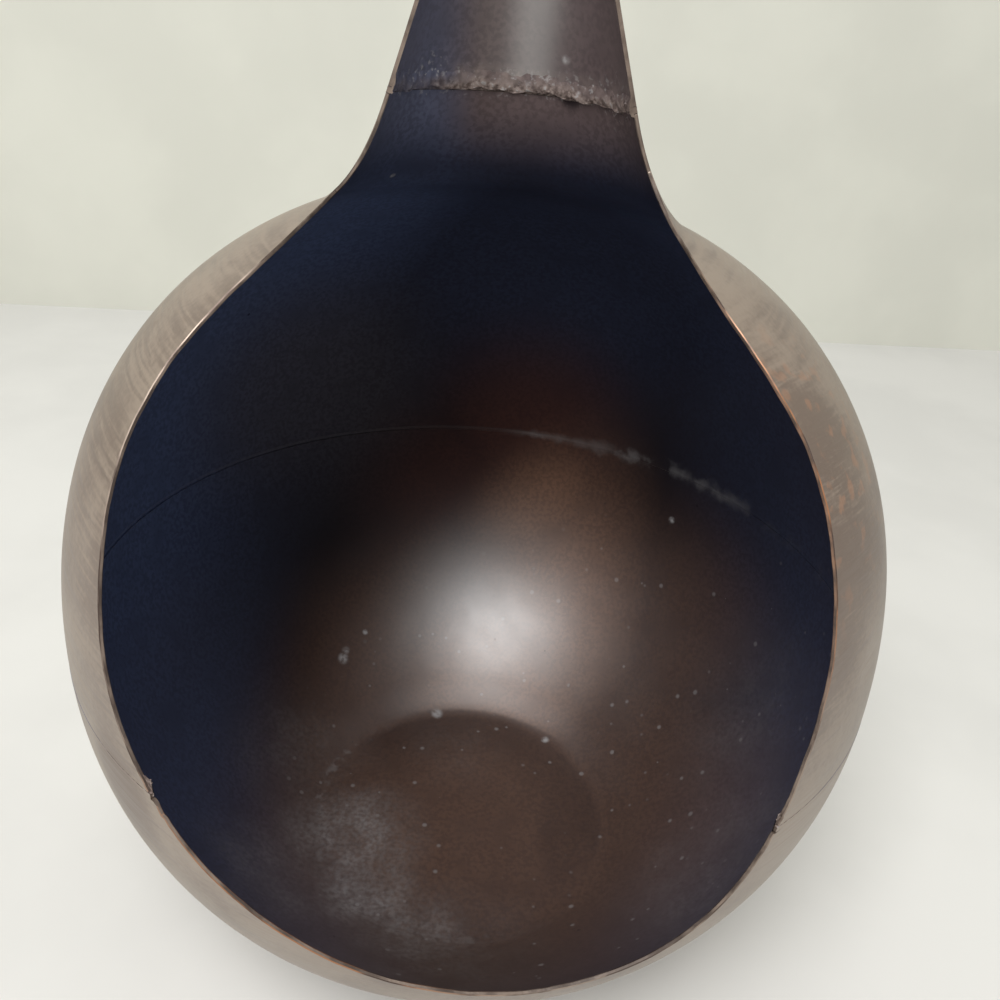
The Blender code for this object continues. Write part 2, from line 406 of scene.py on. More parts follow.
def upper_section(body, half_gap):
    """The shoulder from the seam, then the collar flaring up to the stem."""
    full = shoulder_rise(body)
    power = body.shoulder_fullness
    shoulder = []
    for a in spread(math.asin(half_gap / full), QUARTER, SECTION_STEPS):
        rise = full * math.sin(a)
        radius = body.body_radius * (1 - (rise / body.upper_rise) ** power) ** (1 / power)
        shoulder.append(Vector((radius, body.seam_height + rise)))
    controls = collar_controls(body, half_gap)
    return Section(shoulder + [bezier(controls, t) for t in spread(0, 1, SECTION_STEPS)[1:]])


def stem_section(body, half_gap):
    """The straight taper, closed by a round nose."""
    along = stem_direction(body)
    end_height = neck_height(body) + body.stem_length
    base = Vector((body.stem_radius, neck_height(body))) + along * half_gap
    lean = math.atan2(-along.x, along.y)
    nose_radius = body.tip_radius / math.cos(lean)
    middle = end_height - nose_radius * math.sin(lean)
    nose = [
        Vector((nose_radius * math.cos(a), middle + nose_radius * math.sin(a)))
        for a in spread(lean, QUARTER, SECTION_STEPS)
    ]
    nose[-1].x = 0
    return Section([base] + nose)


BeadPoint = namedtuple("BeadPoint", "side depth free crown")
SHEET_NUMBERS = ("along", "turn", "from_cut")
BEAD_NUMBERS = ("along", "turn", "lift", "swell", "crown", "grit", "inner", "across")


def bead_outline(width, height, gap, wall, lean=0):
    """Points round a bead: flush outside, through the gap, with a low crown inside.

    Free points follow the crown where it wanders off the joint, and crown weighs their lumps. A lean
    shifts the crest towards the lower edge.
    """
    root = [(0, 0), (gap / 2, 0), (gap / 2, wall)]
    right = [BeadPoint(side, depth, 0, 0) for side, depth in root]
    right.append(BeadPoint(width / 2, wall * 0.8, 1, 0))
    left = [point._replace(side=-point.side) for point in reversed(right)]
    crown = []
    for a in spread(0, math.pi, BEAD_POINTS)[1:-1]:
        side = width / 2 * (math.cos(a) - lean * math.sin(a) ** 2)
        crown.append(BeadPoint(side, wall + height * math.sin(a), 1, math.sqrt(math.sin(a))))
    return right + crown + left


def bead_section(joint, along, outline):
    """The bead's outline as a section square to the sheet at the joint."""
    out = Vector((along.y, -along.x))
    return Section([joint + along * point.side - out * point.depth for point in outline])


# The hand cut


def lip_point(body, mouth, angle, side):
    """(x, height) on the lower part of the opening, from 0 at the lip to a quarter turn at its widest."""
    middle = mouth.lip_skew * math.cos(angle) ** mouth.skew_power
    x = middle + side * mouth.half_width * math.sin(angle)
    return x, body.seam_height + mouth.level - mouth.lip_drop * math.cos(angle)


def lip_angle(body, mouth, height):
    """The angle at which the lower part of the opening reaches a height."""
    return math.acos((body.seam_height + mouth.level - height) / mouth.lip_drop)


def side_curve(body, mouth, half_gap):
    """The control points of the opening's side, from its widest level up to the collar."""
    controls = collar_controls(body, half_gap)
    entry = bezier(controls, mouth.entry)
    along = bezier([controls[1] - controls[0], controls[2] - controls[1]], mouth.entry).normalized()
    level = body.seam_height + mouth.level
    return [
        Vector((mouth.half_width, level)),
        Vector((mouth.half_width, level + mouth.side_handle)),
        entry - along * mouth.neck_handle,
        entry,
    ]


def front_turn(x, radius):
    """The turn about the upright axis, from -pi to 0, of the front point at this x."""
    return -math.acos(min(max(x / radius, -1), 1))


def hand_wobble(mouth, distance, phase):
    """How far the cut strays at a distance along it: three unlike waves."""
    waves = ((0.031, 0.5), (0.0113, 0.3), (0.0047, 0.2))
    return mouth.wobble * sum(
        share * math.sin(math.tau * distance / wave + phase * (i + 1))
        for i, (wave, share) in enumerate(waves)
    )


def burr(mouth, rise, phase):
    """How far the torn edge stands off the cut at a height above the seam."""
    at_seam = 1 - smooth_step(0.002, 0.0075, abs(rise))
    coarse, fine = 3100, 5300  # radians per metre
    teeth = math.sin(rise * coarse + phase) + 0.7 * math.sin(rise * fine + 2 * phase)
    return mouth.burr * at_seam * teeth / 1.7


# Grids for the spinning tree: a sheet's cells hold (length along the section, turn, distance from the cut)


def lower_grid(body, mouth, section):
    """Rows from the middle of the foot up to the lip in front and to the seam behind."""
    seam_angle = lip_angle(body, mouth, section.points[-1].y)
    columns = []
    for q in spread(-1, 1, FRONT_COLUMNS):
        x, height = lip_point(body, mouth, abs(q) * seam_angle, math.copysign(1, q))
        rise = height - body.seam_height
        stray = hand_wobble(mouth, x, 1.3) * (1 - abs(q) ** 6)
        stray += burr(mouth, rise, 0.4 + q)
        top, radius = section.at_height(height)
        columns.append((front_turn(x, radius), min(top + stray, section.length), True))
    right, left = columns[-1][0], columns[0][0] + math.tau
    for share in spread(0, 1, BACK_COLUMNS)[1:]:
        columns.append((right + (left - right) * share, section.length, False))

    flat, _ = section.at_height(SAME_POINT)
    fixed = section.at_height(0.4 * body.seam_height)[0]
    lengths = spread(0, flat - body.foot_edge, FLAT_ROWS)[:-1]
    lengths += spread(flat - body.foot_edge, fixed, SIDE_ROWS)[:-1]
    grid = []
    for along in lengths:
        grid.append([(along, turn, top - along if cut else 1) for turn, top, cut in columns])
    for share in spread(0, 1, LIP_ROWS):
        row = []
        for turn, top, cut in columns:
            along = fixed + (top - fixed) * share
            row.append((along, turn, top - along if cut else 1))
        grid.append(row)
    return grid


def upper_grid(body, mouth, section, half_gap):
    """Rows from the seam up to the stem, each from the right cut round the back to the left one."""
    outline = []
    low = lip_angle(body, mouth, section.points[0].y)
    for angle in spread(low, QUARTER, MOUTH_ROWS)[:-1]:
        right, height = lip_point(body, mouth, angle, 1)
        left, _ = lip_point(body, mouth, angle, -1)
        outline.append((left, right, height))
    for t in spread(0, 1, ENTRY_ROWS):
        x, height = bezier(side_curve(body, mouth, half_gap), t)
        lean = -3 * t * (1 - t) * mouth.side_lean
        outline.append((lean - x, lean + x, height))
    top = outline[-1][2]
    for height in spread(top, section.points[-1].y, COLLAR_ROWS)[1:]:
        _, radius = section.at_height(height)
        outline.append((-radius, radius, height))
    grid = []
    for left, right, height in outline:
        along, radius = section.at_height(height)
        rise = height - body.seam_height
        fade = 1 - smooth_step(0.07, 0.1, rise)
        ends = []
        for x, phase in ((right, 2.1), (left, 4.4)):
            stray = hand_wobble(mouth, rise, phase) * fade + burr(mouth, rise, phase)
            ends.append((front_turn(x, radius), stray / radius))
        start = ends[0][0] + ends[0][1]
        end = ends[1][0] + math.tau - ends[1][1]
        row = []
        for share in spread(0, 1, BACK_COLUMNS):
            turn = start + (end - start) * share
            row.append((along, turn, min(share, 1 - share) * (end - start) * radius))
        grid.append(row)
    return grid


def stem_grid(section):
    """Rows up the stem, each half a turn round its back."""
    shoulder = section.lengths[1]
    lengths = spread(0, shoulder, STEM_ROWS)[:-1] + spread(shoulder, section.length, NOSE_ROWS)
    grid = []
    for along in lengths:
        radius = section.points[0].x * (1 - along / section.length)
        grid.append([
            (along, turn, min(turn, math.pi - turn) * radius)
            for turn in spread(0, math.pi, STEM_COLUMNS)
        ])
    return grid


def bead_grid(section, outline, turns, path):
    """Rows round a bead from one end to the other, each cell with the numbers that BEAD_NUMBERS names."""
    widest = max(point.side for point in outline)
    grid = []
    for along, point in zip(section.lengths, outline):
        row = []
        for turn in turns:
            lift, swell, grit = (value * point.free for value in path(turn, point.side))
            inner = 1 if point.depth else 0
            row.append((along, turn, lift, swell, point.crown, grit, inner, point.side / widest))
        grid.append(row)
    return grid


def seam_path(body, welds, start, end):
    """The seam bead is flatter and cleaner on the left. Its ends spread and gather crust at the cut."""

    def path(turn, side):
        from_end = min(turn - start, end - turn) * body.body_radius
        close = 1 - smooth_step(0.001, 0.009, from_end)
        flush = smooth_step(1.4, 1.75, turn) * (1 - close)
        sunk = 0.75 * welds.seam_height * flush
        return side * welds.end_flare * close, sunk, 0.2 * (1 - flush) + 3 * close

    return path


def neck_path(body, welds):
    """The neck bead's crown lies above the joint, less so on the right, and wanders."""
    along = stem_direction(body)

    def path(turn, side):
        share = 0.45 + 0.55 * smooth_step(0.7, 1.4, turn) - 0.1 * smooth_step(1.9, 2.8, turn)
        wander = 0.16 * math.sin(11 * turn) + 0.12 * math.sin(27 * turn)
        lift = welds.neck_lift * (share + wander)
        return lift, lift * along.x / along.y, 1.0

    return path


def grid_mesh(name, grid, attributes):
    """The grid as a flat mesh whose points carry its numbers as attributes."""
    rows, columns = len(grid), len(grid[0])
    faces = []
    for i in range(rows - 1):
        for j in range(columns - 1):
            low = i * columns + j
            faces.append((low, low + 1, low + columns + 1, low + columns))
    cells = [cell for row in grid for cell in row]
    mesh = bpy.data.meshes.new(name)
    mesh.from_pydata([(cell[1], cell[0], 0) for cell in cells], [], faces)
    for k, attribute in enumerate(attributes):
        values = mesh.attributes.new(attribute, "FLOAT", "POINT")
        values.data.foreach_set("value", [cell[k] for cell in cells])
    return mesh


# Node trees


def set_inputs(node, values):
    """Each input takes a value, or another node's output to link from."""
    for key, value in values.items():
        if isinstance(value, bpy.types.NodeSocket):
            node.id_data.links.new(value, node.inputs[key])
        else:
            node.inputs[key].default_value = value


def add(tree, kind, inputs=None, **settings):
    """A node of this kind with its settings and inputs."""
    made = tree.nodes.new(kind)
    for name, value in settings.items():
        setattr(made, name, value)
    set_inputs(made, inputs or {})
    return made


def tree_of(*values):
    """The node tree of the first socket among these values."""
    return next(value.id_data for value in values if isinstance(value, bpy.types.NodeSocket))


def math_node(operation, *values):
    return add(tree_of(*values), "ShaderNodeMath", dict(enumerate(values)), operation=operation).outputs[0]


def vector_node(operation, *values):
    made = add(tree_of(*values), "ShaderNodeVectorMath", dict(enumerate(values)), operation=operation)
    return made.outputs[0]


def scaled(vector, factor):
    made = add(vector.id_data, "ShaderNodeVectorMath", {0: vector, "Scale": factor}, operation="SCALE")
    return made.outputs[0]


def axes(vector):
    """A vector's X, Y and Z."""
    return add(vector.id_data, "ShaderNodeSeparateXYZ", {0: vector}).outputs


def in_a_row(geometry, *steps):
    """Nodes that each take the geometry of the one before, and the last one's geometry."""
    for kind, inputs in steps:
        geometry = add(geometry.id_data, kind, {"Geometry": geometry, **inputs}).outputs[0]
    return geometry


def new_tree(name, sockets):
    """An empty Geometry Nodes tree with these named inputs, and its group input and output."""
    tree = bpy.data.node_groups.new(name, "GeometryNodeTree")
    tree.interface.new_socket("Geometry", in_out="INPUT", socket_type="NodeSocketGeometry")
    for socket, kind in sockets:
        tree.interface.new_socket(socket, in_out="INPUT", socket_type=kind)
    tree.interface.new_socket("Geometry", in_out="OUTPUT", socket_type="NodeSocketGeometry")
    return tree, add(tree, "NodeGroupInput").outputs, add(tree, "NodeGroupOutput")


def spinning_tree():
    """Spins a section about the upright axis: each grid point takes its length along it and its turn."""
    tree, given, output = new_tree("Spun Section", (
        ("Section", "NodeSocketObject"),
        ("Dent Depth", "NodeSocketFloat"),
        ("Dent Size", "NodeSocketFloat"),
        ("Lump Depth", "NodeSocketFloat"),
        ("Lump Size", "NodeSocketFloat"),
        ("Ripple Depth", "NodeSocketFloat"),
        ("Ripple Length", "NodeSocketFloat"),
        ("Seed", "NodeSocketFloat"),
        ("Material", "NodeSocketMaterial"),
    ))

    def attribute(name):
        return add(tree, "GeometryNodeInputNamedAttribute", {"Name": name}, data_type="FLOAT").outputs[0]

    def lumps(size, detail):
        made = add(
            tree,
            "ShaderNodeTexNoise",
            {
                "Vector": point,
                "W": given["Seed"],
                "Scale": math_node("DIVIDE", 1.0, size),
                "Detail": detail,
            },
            noise_dimensions="4D",
        )
        return made.outputs[0]

    turn = attribute("turn")
    section = add(tree, "GeometryNodeObjectInfo", {"Object": given["Section"]})
    sample = add(
        tree,
        "GeometryNodeSampleCurve",
        {"Curves": section.outputs["Geometry"], "Length": attribute("along")},
        mode="LENGTH",
    )
    spot = axes(sample.outputs["Position"])
    run = axes(sample.outputs["Tangent"])
    cosine = math_node("COSINE", turn)
    sine = math_node("SINE", turn)
    outward = add(tree, "ShaderNodeCombineXYZ", {"X": cosine, "Y": sine}).outputs[0]
    height = math_node("ADD", spot["Z"], attribute("lift"))
    upright = add(tree, "ShaderNodeCombineXYZ", {"Z": height}).outputs[0]
    radius = math_node("ADD", spot["X"], attribute("swell"))
    point = vector_node("ADD", scaled(outward, radius), upright)
    fall = add(tree, "ShaderNodeCombineXYZ", {"Z": math_node("MULTIPLY", run["X"], -1.0)}).outputs[0]
    normal = vector_node("ADD", scaled(outward, run["Z"]), fall)

    dents = lumps(given["Dent Size"], 2.0)
    weld = lumps(given["Lump Size"], 3.0)
    travelled = math_node("MULTIPLY", turn, spot["X"])
    waves = math_node("DIVIDE", travelled, given["Ripple Length"])
    uneven = math_node("MULTIPLY_ADD", dents, 1.5, waves)
    ripples = math_node("SINE", math_node("MULTIPLY", uneven, math.tau))
    ripples = math_node("MULTIPLY", ripples, given["Ripple Depth"])
    on_crown = math_node("MULTIPLY_ADD", weld, given["Lump Depth"], ripples)
    depth = math_node("MULTIPLY", dents, given["Dent Depth"])
    depth = math_node("MULTIPLY_ADD", on_crown, attribute("crown"), depth)
    offset = scaled(normal, math_node("MULTIPLY", depth, -1.0))

    done = in_a_row(
        given["Geometry"],
        ("GeometryNodeSetPosition", {"Position": vector_node("ADD", point, offset)}),
        ("GeometryNodeMergeByDistance", {"Distance": SAME_POINT}),
        ("GeometryNodeSetShadeSmooth", {}),
        ("GeometryNodeRealizeInstances", {}),
        ("GeometryNodeSetMaterial", {"Material": given["Material"]}),
    )
    tree.links.new(done, output.inputs[0])
    return tree


def crust_tree():
    """Strews half-sunk grains where a bead's grit attribute asks for them."""
    tree, given, output = new_tree("Weld Crust", (
        ("Density", "NodeSocketFloat"),
        ("Grain", "NodeSocketFloat"),
        ("Seed", "NodeSocketInt"),
        ("Material", "NodeSocketMaterial"),
    ))
    grit = add(tree, "GeometryNodeInputNamedAttribute", {"Name": "grit"}, data_type="FLOAT").outputs[0]
    strewn = add(
        tree,
        "GeometryNodeDistributePointsOnFaces",
        {
            "Mesh": given["Geometry"],
            "Density": math_node("MULTIPLY", grit, given["Density"]),
            "Seed": given["Seed"],
        },
    )
    grain = add(tree, "GeometryNodeMeshIcoSphere", {"Radius": given["Grain"], "Subdivisions": 2})
    size = add(
        tree,
        "FunctionNodeRandomValue",
        {"Min": (0.35, 0.35, 0.2), "Max": (1.25, 1.25, 0.8), "Seed": given["Seed"]},
        data_type="FLOAT_VECTOR",
    )
    crust = add(
        tree,
        "GeometryNodeInstanceOnPoints",
        {
            "Points": strewn.outputs["Points"],
            "Instance": grain.outputs["Mesh"],
            "Rotation": strewn.outputs["Rotation"],
            "Scale": size.outputs[0],
        },
    )
    coated = in_a_row(
        crust.outputs[0],
        ("GeometryNodeRealizeInstances", {}),
        ("GeometryNodeSetShadeSmooth", {}),
        ("GeometryNodeSetMaterial", {"Material": given["Material"]}),
    )
    joined = add(tree, "GeometryNodeJoinGeometry")
    tree.links.new(given["Geometry"], joined.inputs[0])
    tree.links.new(coated, joined.inputs[0])
    tree.links.new(joined.outputs[0], output.inputs[0])
    return tree


def named_tree(name, maker):
    return bpy.data.node_groups.get(name) or maker()


def give_nodes(obj, tree, values):
    """A Geometry Nodes modifier with its inputs set by their sockets' identifiers."""
    modifier = obj.modifiers.new(tree.name, "NODES")
    modifier.node_group = tree
    for item in tree.interface.items_tree:
        if item.in_out == "INPUT" and item.name in values:
            modifier[item.identifier] = values[item.name]


# Meshes


def add_object(name, data):
    obj = bpy.data.objects.new(name, data)
    bpy.context.scene.collection.objects.link(obj)
    return obj


def baked(obj):
    """The object's evaluated mesh as its own plain mesh, with its modifiers gone."""
    bpy.context.view_layer.update()
    graph = bpy.context.evaluated_depsgraph_get()
    mesh = bpy.data.meshes.new_from_object(obj.evaluated_get(graph), depsgraph=graph)
    mesh.name = obj.name
    obj.modifiers.clear()
    obj.data = mesh


def drop_attributes(mesh, names):
    for name in names:
        mesh.attributes.remove(mesh.attributes[name])


def finished(obj, node):
    """The piece stands for its solid: it hangs from the root body, and the solid is hidden."""
    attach(obj, "root")
    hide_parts(node)


def spun(name, grid, numbers, helper, body, materials, lump=0.0, ripple=1.0):
    """A grid whose modifier spins the helper's section, with dents and, on a bead, lumps and ripples."""
    obj = add_object(name, grid_mesh(name, grid, numbers))
    for material in materials:
        obj.data.materials.append(material)
    give_nodes(obj, named_tree("Spun Section", spinning_tree), {
        "Section": helper,
        "Dent Depth": body.dent_depth,
        "Dent Size": body.dent_size,
        "Lump Depth": lump,
        "Lump Size": 0.8 * ripple,
        "Ripple Depth": lump / 16,
        "Ripple Length": ripple,
        "Seed": float(body.seed),
        "Material": materials[0],
    })
    return obj


def spun_sheet(name, section, grid, body, materials):
    """A formed sheet: the spun surface, its thickness inwards, and corners worn along the cut."""
    helper = section.as_curve(name + "_section")
    obj = spun(name, grid, SHEET_NUMBERS, helper, body, materials)
    sheet = obj.modifiers.new("sheet", "SOLIDIFY")
    sheet.thickness = body.wall
    sheet.offset = -1
    sheet.use_even_offset = True
    sheet.material_offset = 1
    sheet.material_offset_rim = 2
    baked(obj)
    bpy.data.objects.remove(helper)
    wear_corners(obj.data, body.worn_edge)
    drop_attributes(obj.data, ("along", "turn"))
    obj.data.set_sharp_from_angle(angle=math.radians(30))
    return obj


def wear_corners(mesh, width):
    """A narrow chamfer on both corners of the cut edge, in the sheet's last material."""
    bm = bmesh.new()
    bm.from_mesh(mesh)
    from_cut = bm.verts.layers.float["from_cut"]
    corners = [
        edge
        for edge in bm.edges
        if max(vert[from_cut] for vert in edge.verts) < SAME_POINT
        and edge.calc_face_angle(0) > math.radians(50)
    ]
    bmesh.ops.bevel(
        bm, geom=corners, offset=width, segments=1, affect="EDGES", material=3, clamp_overlap=True
    )
    bm.to_mesh(mesh)
    bm.free()


def spun_bead(name, section, grid, lump, body, welds, materials):
    """A weld bead with ripples, lumps and closed ends."""
    helper = section.as_curve(name + "_section")
    obj = spun(name, grid, BEAD_NUMBERS, helper, body, materials, lump, welds.ripple)
    baked(obj)
    bpy.data.objects.remove(helper)
    drop_attributes(obj.data, ("along", "turn", "lift", "swell"))
    bm = bmesh.new()
    bm.from_mesh(obj.data)
    inner = bm.verts.layers.float["inner"]
    for face in bm.faces:
        face.material_index = 0 if any(vert[inner] for vert in face.verts) else 1
    ends = [edge for edge in bm.edges if edge.is_boundary]
    for face in bmesh.ops.holes_fill(bm, edges=ends)["faces"]:
        face.material_index = 2
    bmesh.ops.recalc_face_normals(bm, faces=bm.faces)
    bm.to_mesh(obj.data)
    bm.free()
    return obj


def crusted(obj, density, grain, welds, material):
    """Strews crust on a bead."""
    give_nodes(obj, named_tree("Weld Crust", crust_tree), {
        "Density": density,
        "Grain": grain,
        "Seed": welds.seed,
        "Material": material,
    })
    baked(obj)
    drop_attributes(obj.data, ("crown", "grit", "inner"))
    obj.data.set_sharp_from_angle(angle=math.radians(50))


# Materials


def new_material(name):
    """A material, its shader and the object's own coordinates."""
    material = bpy.data.materials.new(name)
    material.use_nodes = True
    shader = material.node_tree.nodes["Principled BSDF"]
    coords = add(material.node_tree, "ShaderNodeTexCoord").outputs["Object"]
    return material, shader, coords


def moved(coords, shift, stretch=(1, 1, 1), turn=(0, 0, 0)):
    """Coordinates for another draw from the same texture, first turned, then stretched and shifted."""
    tree = coords.id_data
    if any(turn):
        coords = add(tree, "ShaderNodeMapping", {"Vector": coords, "Rotation": turn}).outputs[0]
    values = {"Vector": coords, "Location": (shift, -shift, shift), "Scale": stretch}
    return add(tree, "ShaderNodeMapping", values).outputs[0]


def noise(coords, size, detail=3.0):
    """Noise from 0 to 1 whose lumps are about this size, in metres."""
    values = {"Vector": coords, "Scale": 1 / size, "Detail": detail}
    return add(coords.id_data, "ShaderNodeTexNoise", values).outputs[0]


def ramp(value, low, high, start=0.0, end=1.0):
    """A smooth change from start to end as the value goes from low to high."""
    made = add(
        value.id_data,
        "ShaderNodeMapRange",
        {"Value": value, "From Min": low, "From Max": high, "To Min": start, "To Max": end},
        interpolation_type="SMOOTHSTEP",
    )
    return made.outputs[0]


def mix(factor, first, second):
    """A colour between two, each given as three numbers or as a socket."""
    made = add(factor.id_data, "ShaderNodeMix", {"Factor": factor}, data_type="RGBA")
    for key, colour in ((6, first), (7, second)):
        is_socket = isinstance(colour, bpy.types.NodeSocket)
        set_inputs(made, {key: colour if is_socket else (*colour, 1)})
    return made.outputs[2]


def blend(factor, first, second):
    """A number between two."""
    values = {"Factor": factor, 2: first, 3: second}
    return add(factor.id_data, "ShaderNodeMix", values, data_type="FLOAT").outputs[0]


def length(vector):
    return add(vector.id_data, "ShaderNodeVectorMath", {0: vector}, operation="LENGTH").outputs["Value"]


def near(coords, place, inner, outer, stretch=(1, 1, 1)):
    """1 within a distance of a place, fading to 0 further out; stretch weighs the three directions."""
    away = vector_node("MULTIPLY", vector_node("SUBTRACT", coords, place), stretch)
    return ramp(length(away), inner, outer, 1.0, 0.0)


def distance_from(level, value):
    """How far a number is from a level, to either side."""
    return math_node("ABSOLUTE", math_node("SUBTRACT", value, level))


def times(*values):
    """The product of two or more numbers."""
    return functools.reduce(functools.partial(math_node, "MULTIPLY"), values)


def either(*values):
    """The greatest of two or more numbers."""
    return functools.reduce(functools.partial(math_node, "MAXIMUM"), values)


def bump(height, distance):
    values = {"Height": height, "Distance": distance, "Strength": 1.0}
    return add(height.id_data, "ShaderNodeBump", values).outputs[0]


def spots(coords, spacing, radius):
    """Round spots up to this radius, strewn about this far apart, a third of them left out."""
    made = add(coords.id_data, "ShaderNodeTexVoronoi", {"Vector": coords, "Scale": 1 / spacing})
    reach = ramp(axes(made.outputs["Color"])["X"], 0.3, 1.0, 0.001, radius / spacing)
    return ramp(math_node("DIVIDE", made.outputs["Distance"], reach), 0.4, 1.0, 1.0, 0.0)


SCUFFS = (  # place and reach of pale scuffs and crumbs inside the bowl
    ((-0.0415, 0.0455, 0.0150), 0.0024),
    ((-0.0404, 0.0470, 0.0175), 0.0020),
    ((-0.0395, 0.0480, 0.0198), 0.0016),
    ((-0.0359, 0.0545, 0.0193), 0.0012),
    ((0.0577, 0.0660, 0.0636), 0.0014),
    ((-0.0249, 0.0208, 0.1673), 0.0010),
    ((-0.0104, 0.0392, 0.0011), 0.0024),
    ((0.0241, 0.0317, 0.0010), 0.0016),
    ((0.0097, 0.0178, 0.1922), 0.0012),
)
HAZE = (  # place, reach and strength of grey dust in the bottom of the bowl
    ((-0.029, -0.012, 0.001), 0.026, 0.20),
    ((-0.022, -0.030, 0.001), 0.021, 0.19),
    ((-0.010, -0.040, 0.003), 0.022, 0.13),
    ((-0.044, -0.034, 0.012), 0.026, 0.11),
    ((-0.046, 0.010, 0.008), 0.030, 0.05),
    ((-0.004, 0.026, 0.001), 0.022, 0.03),
    ((0.064, -0.036, 0.030), 0.040, 0.09),
    ((0.074, 0.008, 0.040), 0.036, 0.05),
    ((0.000, -0.052, 0.010), 0.036, 0.05),
)


def seam_dust(coords, place):
    """A broken pale line along the seam, thin behind and in wider blotches on the right."""
    off = distance_from(SEAM_LEVEL, place["Z"])
    share = math_node("DIVIDE", off, ramp(place["X"], 0.0, 0.05, 0.0011, 0.0024))
    share = math_node("MULTIPLY_ADD", noise(coords, 0.004, detail=5.0), 2.4, share)
    line = ramp(share, 1.0, 2.6, 1.0, 0.0)
    blotches = ramp(noise(moved(coords, 0.4), 0.008, detail=4.0), 0.46, 0.62)
    thin = ramp(place["X"], 0.034, 0.043, 0.6, 0.0)
    right = times(ramp(place["X"], 0.0, 0.014), ramp(place["X"], 0.068, 0.082, 1.0, 0.2))
    return times(line, either(blotches, thin), right, 0.22)


def crease_dust(coords, place, radius):
    """Dust gathered along the foot's edge on the left and in front."""
    off = distance_from(FOOT_RADIUS, radius)
    leftward = math_node("MULTIPLY_ADD", place["Y"], 0.6, place["X"])
    gathered = ramp(noise(coords, 0.0025, detail=5.0), 0.4, 0.66)
    return times(
        ramp(off, 0.0004, 0.0024, 1.0, 0.0),
        ramp(leftward, -0.035, 0.005, 1.0, 0.0),
        gathered,
        0.22,
    )


def inner_dust(coords, place, radius):
    """Where grey dust lies: haze low in front, crumbs, scuffs, spatter by the neck and pale lines."""
    haze = either(*(times(near(coords, spot, 0.1 * reach, reach), amount) for spot, reach, amount in HAZE))
    wisps = ramp(noise(coords, 0.011, detail=5.0), 0.32, 0.68, 0.55, 1.45)
    fine = ramp(noise(moved(coords, 0.8), 0.0013, detail=4.0), 0.32, 0.68, 0.55, 1.45)
    cloud = times(haze, wisps, fine)
    uneven = ramp(noise(moved(coords, 0.7), 0.008), 0.42, 0.62)
    low = ramp(math_node("MULTIPLY_ADD", place["X"], -0.5, place["Z"]), 0.018, 0.045, 1.0, 0.0)
    crumbs = times(spots(coords, 0.0044, 0.0010), low, 0.3)
    grains = times(spots(moved(coords, 0.2), 0.0030, 0.0009), uneven, haze, 2.2)
    marks = [near(coords, spot, 0.2 * reach, reach) for spot, reach in SCUFFS]
    broken = ramp(noise(coords, 0.0014), 0.3, 0.6, 0.25, 1.0)
    loose = times(either(*marks), broken, 0.8)
    off_neck = distance_from(NECK_LEVEL - 0.0008, place["Z"])
    by_weld = either(
        near(coords, (-0.0165, 0.0135, 0.1880), 0.002, 0.006),
        near(coords, (0.0200, 0.0090, 0.1860), 0.002, 0.008),
        ramp(off_neck, 0.001, 0.004, 0.8, 0.0),
    )
    spatter = ramp(noise(moved(coords, 0.5), 0.0010, detail=4.0), 0.56, 0.68)
    spatter = times(spatter, by_weld, 0.6)
    lines = either(seam_dust(coords, place), crease_dust(coords, place, radius))
    return either(cloud, crumbs, grains, loose, spatter, lines)


